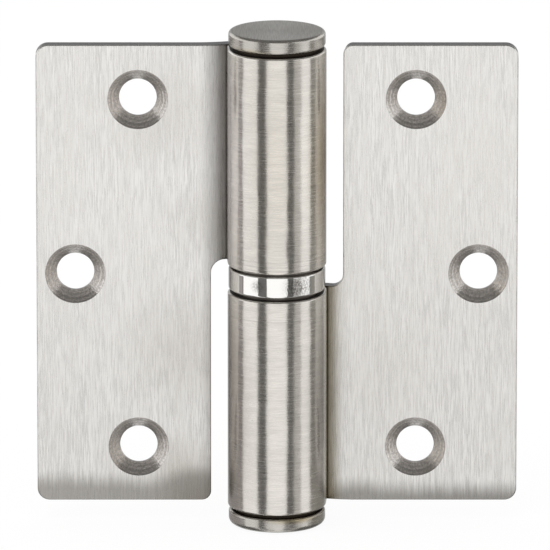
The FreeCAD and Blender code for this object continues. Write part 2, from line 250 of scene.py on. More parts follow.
def cut_blank(loops, walls, links, place, face_finish, wall_finish):
    """A sheet with thickness, cut to its outer loop and pierced by the other loops.

    A wall is a section of outward reach and depth, carried round its loop. place takes the
    flat blank to its folded form: it maps across, up, depth and a normal to space.
    """
    patches = Patches()
    fronts, backs = [], []
    for number, ((edge, outward), (profile, tilt)) in enumerate(zip(loops, walls)):
        flat = edge + outward * profile[:, None, [0]]
        depth = np.broadcast_to(profile[:, None, 1], flat.shape[:2])
        level = outward * tilt[:, None, [0]]
        rise = np.broadcast_to(tilt[:, None, 1], flat.shape[:2])
        points, normals = place(flat, depth, level, rise)
        faces = grid_faces(len(profile), len(edge))
        across = flat.reshape(-1, 2)[faces].mean(axis=1)
        offsets = points - points.reshape(-1, 3).mean(axis=0) if number else None
        finishes = wall_finish(number, faces[:, 0] // len(edge), across)
        patches.add(points, normals, faces, finishes, offsets)
        fronts.append(flat[0])
        backs.append(flat[-1])
    for flats, row, sign in ((fronts, 0, -1.0), (backs, -1, 1.0)):
        triangles = fill_blank(flats, links)
        flat = np.concatenate(flats)
        depth = np.full(len(flat), walls[0][0][row, 1])
        points, normals = place(flat, depth, np.zeros_like(flat), np.full(len(flat), sign))
        patches.add(points, normals, triangles, face_finish(flat[triangles].mean(axis=1)))
    return patches


# Finishes

HOLE_OFFSET = "hole_offset"  # on a countersink, each point's place from its hole's middle
MIX_FIRST, MIX_SECOND, MIX_RESULT = 6, 7, 2  # the Mix node's colour sockets
LEAF_EDGES = (-39 * MM, 39 * MM)
LOW_PART = (8 * MM, -38 * MM)  # from here down to here the leaves grow darker
KNUCKLE_SIDE = 8.2 * MM  # where the pressed slope meets the knuckle
WIDE_SLOPE, NARROW_SLOPE = 4.7 * MM, 2.9 * MM  # its strip of painted shade on the left and on the right
# Brownish stains on the leaves, in millimetres: middle, radius and strength.
STAINS = (
    ((-18.5, 2.3, 27), 13, 0.3),
    ((-12.5, 2.6, 9), 9, 0.3),
    ((-14.5, 2.3, -13), 15, 0.46),
    ((-16, 2.3, -33), 9, 0.6),
    ((22, 2.3, -8), 45, 0.15),
    ((14, 2.6, -16), 15, 0.12),
)
SCORES = (2.85 * MM, 3.5 * MM, 4.3 * MM, -5.6 * MM)  # heights of fine scored rings
UPRIGHT = 0.25  # turns the grain from across the tangent to along it
BLACK = (0, 0, 0)


def feed(node, inputs):
    """Give a node's inputs, by name or number, their values or the sockets they link to."""
    for key, value in inputs.items():
        if isinstance(value, bpy.types.NodeSocket):
            node.id_data.links.new(value, node.inputs[key])
        else:
            node.inputs[key].default_value = value


def add_node(tree, kind, inputs, **settings):
    """Add a shader node with its settings and inputs."""
    node = tree.nodes.new(f"ShaderNode{kind}")
    for name, value in settings.items():
        setattr(node, name, value)
    feed(node, inputs)
    return node


def new_finish(name, color, roughness, anisotropic=0.0, turn=0.0):
    """A metal with uniform settings on its sockets. turn is the grain's, in whole turns."""
    material = bpy.data.materials.new(name)
    material.use_nodes = True
    tree = material.node_tree
    shader = tree.nodes["Principled BSDF"]
    feed(shader, {"Base Color": (*color, 1), "Metallic": 1.0, "Roughness": roughness})
    feed(shader, {"Anisotropic": anisotropic, "Anisotropic Rotation": turn})
    return material, tree, shader


def object_place(tree):
    """The Object coordinates."""
    return add_node(tree, "TexCoord", {}).outputs["Object"]


def object_axis(tree, axis):
    """One of the Object coordinates."""
    return add_node(tree, "SeparateXYZ", {"Vector": object_place(tree)}).outputs[axis]


def grain_noise(tree, stretch, detail=2.0, offset=(0, 0, 0), rotation=(0, 0, 0)):
    """Noise on Object coordinates. stretch is one grain's size along each axis, in mm."""
    placing = {
        "Vector": object_place(tree),
        "Location": offset,
        "Rotation": rotation,
        "Scale": [1 / (size * MM) for size in stretch],
    }
    placed = add_node(tree, "Mapping", placing).outputs["Vector"]
    noise = {"Vector": placed, "Scale": 1.0, "Detail": detail}
    return add_node(tree, "TexNoise", noise).outputs["Fac"]


def ranged(value, low, high, new_low, new_high, smooth=False):
    """Map a socket's value from one range to another and hold it there."""
    inputs = dict(enumerate((value, low, high, new_low, new_high)))
    curve = "SMOOTHSTEP" if smooth else "LINEAR"
    node = add_node(value.id_data, "MapRange", inputs, interpolation_type=curve)
    return node.outputs["Result"]


def math_node(operation, first, *others):
    """Work out one operation on a socket and other sockets or numbers."""
    inputs = dict(enumerate((first, *others)))
    return add_node(first.id_data, "Math", inputs, operation=operation).outputs["Value"]


def product(first, second):
    """Multiply a socket by another or by a number."""
    return math_node("MULTIPLY", first, second)


def mixed(factor, first, second):
    """Mix two colours, each a colour or a socket, by the factor's socket."""
    inputs = {"Factor": factor}
    for key, color in ((MIX_FIRST, first), (MIX_SECOND, second)):
        inputs[key] = color if isinstance(color, bpy.types.NodeSocket) else (*color, 1)
    return add_node(factor.id_data, "Mix", inputs, data_type="RGBA").outputs[MIX_RESULT]


def surface(shader, color, height, depth):
    """Give the metal its colour and the relief of a height. depth is in millimetres."""
    inputs = {"Strength": 1.0, "Distance": depth * MM, "Height": height}
    relief = add_node(shader.id_data, "Bump", inputs).outputs["Normal"]
    feed(shader, {"Base Color": color, "Normal": relief})


def tinted(color, factor, tint=(1, 1, 1)):
    """A colour made lighter or darker, and tinted."""
    return [channel * factor * part for channel, part in zip(color, tint)]


def upright_grain(shader):
    """Give the pin's direction as the grain's."""
    along = add_node(shader.id_data, "CombineXYZ", {"Z": 1.0})
    feed(shader, {"Tangent": along.outputs["Vector"]})


def soft_spot(tree, centre, radius, tall=1.0):
    """1 at the centre, in Object coordinates, and 0 from the radius outwards.

    The centre and radius are in millimetres, and tall stretches the spot along the pin.
    """
    x, y, z = (part * MM for part in centre)
    shrunk = add_node(tree, "Mapping", {"Vector": object_place(tree), "Scale": (1, 1, 1 / tall)})
    inputs = {0: shrunk.outputs["Vector"], 1: (x, y, z / tall)}
    distance = add_node(tree, "VectorMath", inputs, operation="DISTANCE").outputs["Value"]
    return ranged(distance, 0, radius * MM, 1, 0, smooth=True)


def stained_satin(tree, light, fine):
    """The leaf's own colour: fine and broad grain, cloudy stains and a darker lower part."""
    broad = grain_noise(tree, (0.9, 0.9, 18), offset=(3, 0, 7))
    cloud = grain_noise(tree, (13, 13, 20), detail=3, offset=(1, 5, 2))
    color = mixed(ranged(fine, 0.4, 0.6, 0, 1), tinted(light, 0.7), light)
    broadly = ranged(broad, 0.35, 0.65, 0, 0.45)
    color = mixed(broadly, color, tinted(light, 0.86, (1, 0.99, 0.98)))
    cloudy = ranged(cloud, 0.42, 0.7, 0, 0.4)
    color = mixed(cloudy, color, tinted(light, 0.86, (1, 0.985, 0.96)))
    low = ranged(object_axis(tree, "Z"), *LOW_PART, 0, 0.5)
    color = mixed(low, color, tinted(light, 0.78, (1, 0.995, 0.985)))
    for centre, radius, strength in STAINS:
        spot = product(soft_spot(tree, centre, radius), strength)
        color = mixed(spot, color, tinted(light, 0.62, (1, 0.96, 0.91)))
    return color


def painted_low_reflection(tree, finish, color):
    """Paint a dark reflection over the leaves' lower ends, up to a wavy and ragged edge.

    The edge lies higher on the left leaf, and it climbs and browns there towards the notch.
    """
    light = finish.leaf_color
    across, up = object_axis(tree, "X"), object_axis(tree, "Z")
    level = ranged(across, *LEAF_EDGES, finish.low_reflection_height, finish.low_reflection_height - 1.6 * MM)
    climb = product(soft_spot(tree, (-12.5, 2.3, -35), 8.5), 2.1 * MM)
    above = math_node("SUBTRACT", math_node("SUBTRACT", up, level), climb)
    wavy = grain_noise(tree, (7, 7, 90), detail=1, offset=(2.3, 4, 0))
    ragged = grain_noise(tree, (0.4, 0.4, 60), detail=4, offset=(8, 1, 0))
    for noise, height in ((wavy, 2.4 * MM), (ragged, 1.5 * MM)):
        swing = product(math_node("SUBTRACT", noise, 0.5), height)
        above = math_node("ADD", above, swing)
    # painted dark reflection: the band's strength, full below the ragged edge
    dark_band = ranged(above, -1.7 * MM, 1.9 * MM, 0.93, 0, smooth=True)
    dark = ranged(across, *LEAF_EDGES, 0.41, 0.3)
    inputs = {0: tinted(light, 1, (1, 0.97, 0.93)), "Scale": dark}
    darker = add_node(tree, "VectorMath", inputs, operation="SCALE").outputs["Vector"]
    color = mixed(dark_band, color, darker)
    smudge = product(soft_spot(tree, (-12.5, 2.3, -38), 9.5, 0.88), 0.85)
    return mixed(smudge, color, tinted(light, 0.28, (1, 0.94, 0.86)))


def painted_slope_shade(tree, finish, color):
    """Paint shade on the front of the pressed slopes towards the knuckle, and a contact shadow on
    the seam where they meet.

    The left slope's painted shade is darker over a wider strip, and the right one's is browner.
    """
    light = finish.leaf_color
    across = object_axis(tree, "X")
    reach = math_node("ABSOLUTE", across)
    front = ranged(object_axis(tree, "Y"), 3.7 * MM, 4.4 * MM, 1, 0)
    side = ranged(across, -MM, MM, 0, 1)
    narrow = ranged(side, 0, 1, 1 / WIDE_SLOPE, 1 / NARROW_SLOPE)
    away = product(math_node("SUBTRACT", reach, KNUCKLE_SIDE), narrow)
    # painted shade: the slope's colour darkens towards the knuckle in place of its shading
    slope = ranged(away, 0, 1, finish.swage_shade, 0, smooth=True)
    left, right = tinted(light, 0.06, (1, 0.9, 0.8)), tinted(light, 0.22, (1, 0.84, 0.5))
    color = mixed(product(slope, front), color, mixed(side, left, right))
    # painted contact shadow along the seam, in the grooves' dark colour
    seam = ranged(reach, 8.15 * MM, 8.6 * MM, 0.97, 0)
    seam = product(seam, ranged(side, 0, 1, 0.5, 1))
    return mixed(product(seam, front), color, finish.groove_shade_color)


def satin_finish(finish):
    """Leaf faces: fine scratches along the pin, stains, a painted dark reflection over the lower
    end and painted shade on the slopes and seam.
    """
    light, rough = finish.leaf_color, finish.leaf_roughness
    material, tree, shader = new_finish("satin_leaf", light, rough, 0.7, UPRIGHT)
    upright_grain(shader)
    fine = grain_noise(tree, (0.15, 0.15, 3.6))
    color = stained_satin(tree, light, fine)
    color = painted_low_reflection(tree, finish, color)
    color = painted_slope_shade(tree, finish, color)
    deep = ranged(object_axis(tree, "Z"), *LOW_PART, 0, 0.16)
    scratched = product(ranged(fine, 0.4, 0.6, 1, 0), deep)
    color = mixed(scratched, color, BLACK)
    rough = ranged(fine, 0.3, 0.7, rough * 0.85, rough * 1.15)
    feed(shader, {"Roughness": rough})
    surface(shader, color, fine, 0.005)
    return material


def countersink_finish(finish):
    """Turned cones: rings round the hole and faint ticks across them."""
    color = finish.sink_color
    material, tree, shader = new_finish("turned_countersink", color, 0.2, 0.7, UPRIGHT)
    offset = add_node(tree, "Attribute", {}, attribute_name=HOLE_OFFSET).outputs["Vector"]
    inputs = {0: offset, 1: (0, 1, 0)}
    around = add_node(tree, "VectorMath", inputs, operation="CROSS_PRODUCT").outputs["Vector"]
    placed = add_node(
        tree, "VectorTransform", {"Vector": around},
        vector_type="VECTOR", convert_from="OBJECT", convert_to="WORLD",
    )
    feed(shader, {"Tangent": placed.outputs["Vector"]})
    reach = add_node(tree, "VectorMath", {0: around}, operation="LENGTH").outputs["Value"]
    inputs = {"W": reach, "Scale": 1 / (0.3 * MM), "Detail": 3.0}
    rings = add_node(tree, "TexNoise", inputs, noise_dimensions="1D").outputs["Fac"]
    ticks = grain_noise(tree, (0.3, 3, 0.3))
    ringed = ranged(rings, 0.38, 0.62, 0, 1)
    grained = mixed(ringed, tinted(color, 0.84), color)
    grained = mixed(ranged(ticks, 0.4, 0.62, 0, 0.6), grained, tinted(color, 0.55))
    surface(shader, grained, math_node("ADD", rings, ticks), 0.028)
    return material


def turned_finish(name, color, roughness, anisotropic=0.7, depth=0.007, wave=0.045, marks=()):
    """Turned or linished rounds: fine rings round the pin axis, on a faintly wavy surface.

    depth and wave are the heights of the rings and the waves, in millimetres. Each mark is a
    soft spot of colour (on the knuckles, painted reflection and shade): its middle, radius, height
    to width, strength and colour.
    """
    material, tree, shader = new_finish(name, color, roughness, anisotropic)
    upright_grain(shader)
    rings = grain_noise(tree, (2.4, 2.4, 0.15), detail=3)
    broad = grain_noise(tree, (6, 6, 1.2), offset=(4, 2, 9))
    wavy = grain_noise(tree, (2.4, 2.4, 6), detail=1, offset=(7, 3, 1))
    grained = color
    for centre, radius, tall, strength, mark_color in marks:
        spot = product(soft_spot(tree, centre, radius, tall), strength)
        grained = mixed(spot, grained, mark_color)
    up = object_axis(tree, "Z")
    for level in SCORES:
        apart = math_node("ABSOLUTE", math_node("SUBTRACT", up, level))
        scored = product(ranged(apart, 0, 0.12 * MM, 0.45, 0), broad)
        grained = mixed(scored, grained, tinted(color, 0.25))
    for noise, low, high, part in ((rings, 0.38, 0.62, 0.12), (broad, 0.42, 0.66, 0.07)):
        grained = mixed(ranged(noise, low, high, part, 0), grained, BLACK)
    rough = ranged(rings, 0.3, 0.7, roughness * 0.8, roughness * 1.3)
    feed(shader, {"Roughness": rough})
    height = math_node("ADD", rings, product(wavy, wave / depth))
    surface(shader, grained, height, depth)
    return material


def knuckle_finish(finish):
    """Linished knuckles with painted reflections: lighter and rosier on the upper left with a
    light streak in front, darker on the right and the lower sides and browner on the upper right,
    and painted shade at the ends beside the caps.
    """
    color = finish.knuckle_color
    # painted reflections and shade: each spot lightens or darkens a side as its reflection does,
    # and the last two paint shade at the ends beside the caps
    marks = (
        ((0, -8, 20), 9, 3.5, 0.9, tinted(color, 0.94, (1, 0.98, 0.95))),
        ((-8, -1, 20), 8, 3.5, 1.0, (0.99, 0.925, 0.92)),
        ((4.6, -6.8, 20), 3, 7, 0.8, (0.97, 0.93, 0.87)),
        ((8, -2, 20), 7, 3.5, 1.0, tinted(color, 0.6, (1, 0.86, 0.65))),
        ((-7.5, -3.5, -20), 6, 4.5, 1.0, tinted(color, 0.6, (1, 0.95, 0.94))),
        ((7.5, -3.5, -20), 5.5, 4.5, 1.0, tinted(color, 0.55, (1, 0.98, 0.97))),
        ((0, 0, 38), 9.5, 0.08, 0.8, tinted(color, 0.5)),
        ((0, 0, -38), 9.5, 0.1, 0.8, tinted(color, 0.5)),
    )
    return turned_finish("linished_knuckle", color, 0.22, marks=marks)


def cap_finish(finish):
    """Turned caps with a yellow-brown tint beside the groove."""
    brown_tint = tinted(finish.cap_color, 0.72, (1, 0.88, 0.6))
    marks = (((3, -7, -38.9), 7, 0.12, 0.9, brown_tint), ((-4, -7, 38.9), 6, 0.12, 0.5, brown_tint))
    return turned_finish("turned_cap", finish.cap_color, 0.24, 0.3, 0.022, 0.13, marks)


def polished_ring_finish(finish):
    """Polished shell: mirror bright, with painted darker reflections at the sides, and crinkled,
    tarnished patches.
    """
    color = finish.ring_color
    material, tree, shader = new_finish("polished_ring", color, 0.07)
    spot = soft_spot(tree, (3.6, -7.1, 0), 3.6)
    other = soft_spot(tree, (-3.2, -7.1, 0.2), 1.5)
    crinkle = grain_noise(tree, (0.28, 0.28, 0.28))
    wavy = grain_noise(tree, (3, 3, 4), detail=1, offset=(2, 2, 5))
    patch = math_node("ADD", spot, product(other, 0.8))
    tarnish = product(patch, ranged(crinkle, 0.35, 0.62, 1, 0.3))
    # painted reflection: the shell's sides darker and beige
    aside = math_node("ABSOLUTE", object_axis(tree, "X"))
    side_shade = ranged(aside, 5.6 * MM, 6.4 * MM, 0, 0.55)
    colored = mixed(side_shade, color, tinted(color, 0.5, (1, 0.95, 0.87)))
    colored = mixed(tarnish, colored, tinted(color, 0.16, (1, 0.93, 0.84)))
    rough = product(crinkle, math_node("ADD", patch, 0.02))
    height = math_node("ADD", rough, product(wavy, 0.8))
    surface(shader, colored, height, 0.022)
    return material


def plain_finish(name, color, roughness, grain=0.5, depth=0.004):
    """Metal with an even, faintly mottled surface."""
    material, tree, shader = new_finish(name, color, roughness)
    mottle = grain_noise(tree, (grain, grain, grain), detail=3)
    mottled = mixed(ranged(mottle, 0.3, 0.7, 0, 1), tinted(color, 0.85), color)
    surface(shader, mottled, mottle, depth)
    return material


def cap_end_finish(finish):
    """The caps' flat ends: satin, brushed on a slant."""
    color = finish.cap_color
    material, tree, shader = new_finish("satin_cap_end", color, 0.34, 0.3)
    scratches = grain_noise(tree, (0.16, 3.0, 1.0), rotation=(0, 0, math.radians(-38)))
    scratched = mixed(ranged(scratches, 0.3, 0.7, 0, 1), tinted(color, 0.7), color)
    surface(shader, scratched, scratches, 0.003)
    return material


# Settings


def millimetres(name, description, default):
    """A length whose default is given in millimetres."""
    return FloatProperty(
        name=name, description=description, default=default * MM, unit="LENGTH", precision=5
    )


def degrees(name, description, default):
    """An angle whose default is given in degrees."""
    return FloatProperty(
        name=name, description=description, default=math.radians(default), subtype="ANGLE"
    )


def share(name, description, default):
    """A number between 0 and 1."""
    return FloatProperty(
        name=name, description=description, default=default, subtype="FACTOR", min=0, max=1
    )


def metal_color(name, description, *default):
    """A colour."""
    return FloatVectorProperty(
        name=name, description=description, default=default, subtype="COLOR", min=0, max=1
    )


class HingeSizes(PropertyGroup):
    """Sizes that the frame's boxes don't give."""

    gauge: millimetres("Sheet gauge", "Thickness of the leaves", 2.5)
    setback: millimetres("Face setback", "Pin axis to the countersunk face", 2.3)
    swage_angle: degrees("Swage angle", "Slope of the sheet where it meets the knuckle", 20)
    swage_bend: millimetres("Swage bend", "Inside radius of the swage's bend", 17.5)
    roll: degrees("Roll", "Angle that the sheet is rolled round the bore", 287)
    straight_end: millimetres(
        "Straight end", "Unrolled last part of the knuckle, up to the seam", 3.1
    )
    notch_reach: millimetres("Notch reach", "Pin axis to the edge beside the other knuckle", 10.7)
    notch_corner: millimetres("Notch corner", "Radius in the notch's corner", 2.2)
    outer_corner: millimetres("Outer corner", "Radius of the leaf's outer corners", 2)
    inner_corner: millimetres(
        "Inner corner", "Radius of the leaf's corner beside the other knuckle", 1.5
    )
    roll_corner: millimetres("Roll corner", "Radius of the corners at the knuckle's free end", 0.6)
    edge_ease: millimetres("Edge ease", "Radius along the edges of the countersunk face", 0.2)
    back_ease: millimetres("Back ease", "Radius along the edges of the back and the knuckle", 0.35)
    hole_width: millimetres("Hole width", "Width of the screw holes", 6.1)
    sink_width: millimetres("Countersink width", "Width of the countersinks at the face", 9.8)
    end_hole_reach: millimetres("End hole reach", "Pin axis to the two holes near the ends", 22.5)
    end_hole_margin: millimetres(
        "End hole margin", "Leaf's end to the centre of the hole near it", 9
    )
    mid_hole_margin: millimetres(
        "Middle hole margin", "Leaf's outer edge to the middle hole's centre", 6.3
    )
    bearing_space: millimetres("Bearing space", "Gap between the two knuckles", 4.5)
    cap_groove: millimetres("Cap groove", "Gap between a cap's button and the knuckle", 0.6)
    cap_groove_depth: millimetres("Groove depth", "How far the groove goes in", 0.95)
    cap_shoulder: millimetres("Top cap shoulder", "Radius round the top cap's flat end", 0.6)
    low_cap_shoulder: millimetres(
        "Bottom cap shoulder", "Radius round the bottom cap's flat end", 1.0
    )
    lip_width: millimetres("Shell lip", "Width of the bearing shell's crimped lips", 0.85)
    shell_gauge: millimetres("Shell gauge", "Thickness of the bearing shell", 0.35)
    pin_nose: millimetres("Pin nose", "Bevel on the pin's tip", 1.6)


class HingeFinishes(PropertyGroup):
    """Colours and roughness of the steels, and the painted shade and reflections on them."""

    leaf_color: metal_color("Leaf", "Satin stainless of the leaves", 1.0, 0.985, 0.955)
    leaf_roughness: share("Leaf roughness", "Roughness of the leaves' faces", 0.29)
    # painted dark reflection over the leaves' lower ends, from this height down
    low_reflection_height: millimetres("Dull height", "The left leaf is duller below this height", -34.6)
    # strength of the painted shade on the pressed slope at the knuckle
    swage_shade: share("Swage darkening", "How dark the pressed slope is at the knuckle", 0.78)
    knuckle_color: metal_color("Knuckle", "Linished stainless of the knuckles", 0.84, 0.805, 0.75)
    cap_color: metal_color("Cap", "Turned stainless of the caps", 0.67, 0.64, 0.595)
    ring_color: metal_color("Ring", "Polished bearing shell", 0.99, 0.98, 0.955)
    sink_color: metal_color("Countersink", "Turned countersinks", 0.80, 0.765, 0.73)
    edge_color: metal_color("Sheared edge", "Sheared edges of the sheet", 0.37, 0.365, 0.36)
    # painted shade: the knuckles' end faces and the races sit in the gaps and are coloured this
    # dark in place of their shade
    gap_shade_color: metal_color("Knuckle end", "Greasy end faces of the knuckles", 0.16, 0.145, 0.13)
    # painted shade: the grooves' necks and the leaves' seams are coloured this dark in place of
    # their shade
    groove_shade_color: metal_color(
        "Groove", "Dark grooves beside the caps and the bearing", 0.075, 0.06, 0.045
    )
    brass_color: metal_color("Cage", "Brass of the ball cage", 0.72, 0.56, 0.28)


class HingeStudio(PropertyGroup):
    """Camera and lights."""

    aim: FloatVectorProperty(
        name="Camera aim", description="The point that the camera looks at", subtype="TRANSLATION",
        unit="LENGTH", default=(-0.32 * MM, 0, 0.36 * MM),
    )
    distance: millimetres("Camera distance", "Camera to the aim", 1800)
    elevation: degrees("Camera elevation", "Angle of the camera above the level", 14)
    scale: FloatProperty(
        name="Picture scale", description="Pixels across one metre at the aim", default=6173.0,
    )
    picture: IntProperty(
        name="Picture width", description="Width of the photograph in pixels", default=550,
    )
    card_distance: millimetres("Card distance", "Distance of the studio's dark cards", 1600)


# Leaves

SATIN, KNUCKLE, SINK, EDGE, END = range(5)
BEND_POINTS, ROLL_POINTS = 25, 110  # stations of the fold
CORNER_STEPS = 10  # faces round a corner of the blank
SAMPLES = 2000  # points along the fold, to find the notch by


def fold_map(sizes, knuckle, reach):
    """Where the blank's bend, slope, roll and straight end begin, and the map to the fold.

    Across the blank, distance is measured along the countersunk face, which becomes the
    bore. The sheet's direction is level on the flat, turns up through the bend, is steady on
    the slope, turns back evenly round the bore and is steady again up to the free end. A
    point is the face's point at that distance, moved by its depth along the sheet's normal.
    """
    slope, gauge = sizes.swage_angle, sizes.gauge
    bore = knuckle - gauge
    bend = sizes.swage_bend + gauge
    bend_y = sizes.setback + bend
    bend_x = (knuckle + sizes.swage_bend - bend_y * math.cos(slope)) / -math.sin(slope)
    bend_end = bend_x + bend * slope
    slope_start = np.array([bend_x + bend * math.sin(slope), bend_y - bend * math.cos(slope)])
    slope_end = bore * np.array([-math.sin(slope), math.cos(slope)])
    roll_start = bend_end + np.linalg.norm(slope_end - slope_start)
    roll_end = roll_start + bore * sizes.roll
    last = slope - sizes.roll
    last_point = bore * np.array([-math.sin(last), math.cos(last)])

    def place(flat, depth, level, rise):
        across, up = flat[..., 0], flat[..., 1]
        turn = np.clip((across - bend_x) / bend, 0, slope)
        turn = turn - np.clip((across - roll_start) / bore, 0, sizes.roll)
        cosine, sine, nought = np.cos(turn), np.sin(turn), np.zeros_like(turn)
        normal = np.stack([-sine, cosine, nought], axis=-1)
        along = np.stack([cosine, sine, nought], axis=-1)
        side, run = normal[..., :2], along[..., :2]
        parts = [
            np.stack([across, nought + sizes.setback], axis=-1),
            np.array([bend_x, bend_y]) - side * bend,
            slope_start + run * (across - bend_end)[..., None],
            side * bore,
            last_point + run * (across - roll_end)[..., None],
        ]
        part = np.searchsorted([bend_x, bend_end, roll_start, roll_end], across)
        face = np.choose(part[..., None], parts)
        points = np.concatenate([face, up[..., None]], axis=-1) + normal * depth[..., None]
        facing = along * level[..., [0]] + UP * level[..., [1]] + normal * rise[..., None]
        return points, unit(facing)

    across = np.linspace(-reach, roll_start, SAMPLES)
    flat = np.stack([across, np.zeros_like(across)], axis=1)
    faces = place(flat, flat[:, 1], np.zeros_like(flat), flat[:, 1] + 1)[0]
    notch = np.interp(-sizes.notch_reach, faces[:, 0], across)
    free_end = roll_end + sizes.straight_end
    return (bend_x, bend_end, roll_start, roll_end, free_end, notch), place


def leaf_outline(sizes, reach, height, places):
    """The blank's outer edge, with a point on its level sides at each station of the fold.

    Returns the points, their outward normals, and the links that join a station's point on
    the top side to the one below it.
    """
    bend_start, bend_end, roll_start, roll_end, free_end, notch = places
    foot = (height + sizes.bearing_space) / 2
    corners = [(-reach, 0), (notch, 0), (notch, foot), (free_end, foot)]
    corners += [(free_end, height), (-reach, height)]
    count = len(corners)
    roll_corner, outer = sizes.roll_corner, sizes.outer_corner
    radii = [outer, sizes.inner_corner, sizes.notch_corner, roll_corner, roll_corner, outer]
    arcs, normals = section(corners, radii, closed=True, steps=CORNER_STEPS)
    arcs, normals = arcs.reshape(count, -1, 2), normals.reshape(count, -1, 2)
    stations = [
        np.linspace(bend_start, bend_end, BEND_POINTS),
        np.linspace(roll_start, roll_end, ROLL_POINTS),
        arcs[1][arcs[1][:, 0] < notch - 2 * sizes.back_ease, 0],
        arcs[2][:, 0],
        arcs[3][:, 0],
    ]
    stations = np.unique(np.concatenate(stations))
    points, outward = [], []
    for number in range(count):
        points.append(arcs[number])
        outward.append(normals[number])
        start, stop = arcs[number][-1], arcs[(number + 1) % count][0]
        if abs(stop[1] - start[1]) < WELD:
            low, high = sorted((start[0], stop[0]))
            between = stations[(stations > low + WELD) & (stations < high - WELD)]
            between = between if stop[0] > start[0] else between[::-1]
            points.append(np.stack([between, np.full(len(between), start[1])], axis=1))
            outward.append(np.tile(normals[number][-1], (len(between), 1)))
    points, outward = np.concatenate(points), np.concatenate(outward)
    top = np.flatnonzero((points[:, 1] > height - WELD) & (points[:, 0] > bend_start - WELD))
    below = np.flatnonzero(points[:, 1] < height - outer)
    below = below[np.argsort(-points[below, 1])]
    same = np.abs(points[top, 0][:, None] - points[below, 0]) < WELD / 10
    first, second = np.nonzero(same)
    once = np.unique(first, return_index=True)[1]
    return points, outward, np.stack([top[first[once]], below[second[once]]], axis=1).tolist()


def build_leaf(sizes, name, turned_over, materials, body):
    """Cut the blank, countersink it and fold it. The lower leaf is turned over about Y."""
    low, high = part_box(name)
    reach = max(-low.x, high.x)
    height = high.z - low.z
    places, fold = fold_map(sizes, high.y, reach)
    roll_start = places[2]
    over = np.array([-1, 1, -1]) if turned_over else np.array([1, 1, 1])

    def place(flat, depth, level, rise):
        points, normals = fold(flat, depth, level, rise)
        return (points - UP * height / 2) * over, normals * over

    hole = sizes.hole_width / 2
    sunk = sizes.sink_width / 2 - hole
    centres = [
        (-sizes.end_hole_reach, height - sizes.end_hole_margin),
        (-sizes.end_hole_reach, sizes.end_hole_margin),
        (sizes.mid_hole_margin - reach, height / 2),
    ]
    points, outward, links = leaf_outline(sizes, reach, height, places)
    loops = [(points, outward)] + [circle_loop(centre, hole) for centre in centres]
    gauge = sizes.gauge
    rim = wall_section([(0, 0), (0, gauge)], [0, sizes.edge_ease, sizes.back_ease, 0])
    soft = [0, 0.06 * MM, 0.1 * MM, 0.15 * MM, 0]
    bored = wall_section([(-sunk, 0), (0, sunk), (0, gauge)], soft)

    def face_finish(across):
        return np.where(across[:, 0] > roll_start, KNUCKLE, SATIN)

    def wall_finish(number, row, across):
        plain = face_finish(across)
        if number:
            return np.where(row > 0, SINK, plain)
        # the knuckle ends sit in the grooves and the bearing gap; their finish is painted shade
        return np.where(row == ARC_STEPS, np.where(plain == KNUCKLE, END, EDGE), plain)

    patches = cut_blank(loops, [rim, bored, bored, bored], links, place, face_finish, wall_finish)
    patches.piece(name, "folded", materials, body, "leaf_steel")


class HINGE_OT_leaves(Operator):
    """Fold both leaves from their blanks and finish them"""

    bl_idname = "hinge.leaves"
    bl_label = "Leaves"

    def execute(self, context):
        sizes, finish = context.scene.hinge_sizes, context.scene.hinge_finishes
        materials = [
            satin_finish(finish),
            knuckle_finish(finish),
            countersink_finish(finish),
            plain_finish("sheared_edge", finish.edge_color, 0.45, grain=0.3),
            # painted shade on the knuckle ends
            plain_finish("knuckle_end", finish.gap_shade_color, 0.5, grain=0.3),
        ]
        build_leaf(sizes, "upper_leaf", False, materials, "upper_half")
        build_leaf(sizes, "lower_leaf", True, materials, "lower_half")
        return {"FINISHED"}


# Turned pieces

TURNED, FLAT_END, GROOVE = range(3)
CLEARANCE = 0.05 * MM  # between the pin and the upper knuckle, and a race and the shell's lip
CAGE_EDGE, CAGE_BORE, POCKET_EDGE = 180, 144, 40  # points round the cage's edges
BALL_RISE, BALL_AROUND = 25, 40  # points up and round a ball


def knuckle_bore(sizes):
    """The radius of the knuckles' bore."""
    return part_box("upper_leaf")[1].y - sizes.gauge


def build_cap(sizes, name, body, materials):
    """A button with a soft shoulder, a neck in the groove painted dark as its shade, and a plug in
    the knuckle.
    """
    low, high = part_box(name)
    inner, end = sorted((abs(low.z), abs(high.z)))
    outside, bore = high.x, knuckle_bore(sizes)
    knuckle_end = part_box("upper_leaf")[1].z
    groove_top = knuckle_end + sizes.cap_groove
    neck = outside - sizes.cap_groove_depth
    corners = [
        (0, inner), (bore, inner), (bore, knuckle_end), (neck, knuckle_end),
        (neck, groove_top), (outside, groove_top), (outside, end), (0, end),
    ]
    shoulder = sizes.cap_shoulder if high.z > 0 else sizes.low_cap_shoulder
    plug, crease, under = 0.4 * MM, 0.08 * MM, 0.45 * MM
    radii = [0, plug, crease, crease, crease, under, shoulder, 0]
    profile, normals = section(corners, radii, steps=8)
    middles = (profile[1:] + profile[:-1]) / 2
    flat_end = (normals[1:, 1] > 0.97) & (middles[:, 1] > end - 0.1 * MM)
    in_groove = (middles[:, 1] < groove_top + 0.05 * MM) & (middles[:, 0] < outside - 0.5 * MM)
    finishes = np.where(flat_end, FLAT_END, np.where(in_groove, GROOVE, TURNED))
    over = np.array([1, 1 if high.z > 0 else -1])
    patches = turned(profile * over, normals * over, finishes)
    patches.piece(name, "turned", materials, body, "cap_steel")


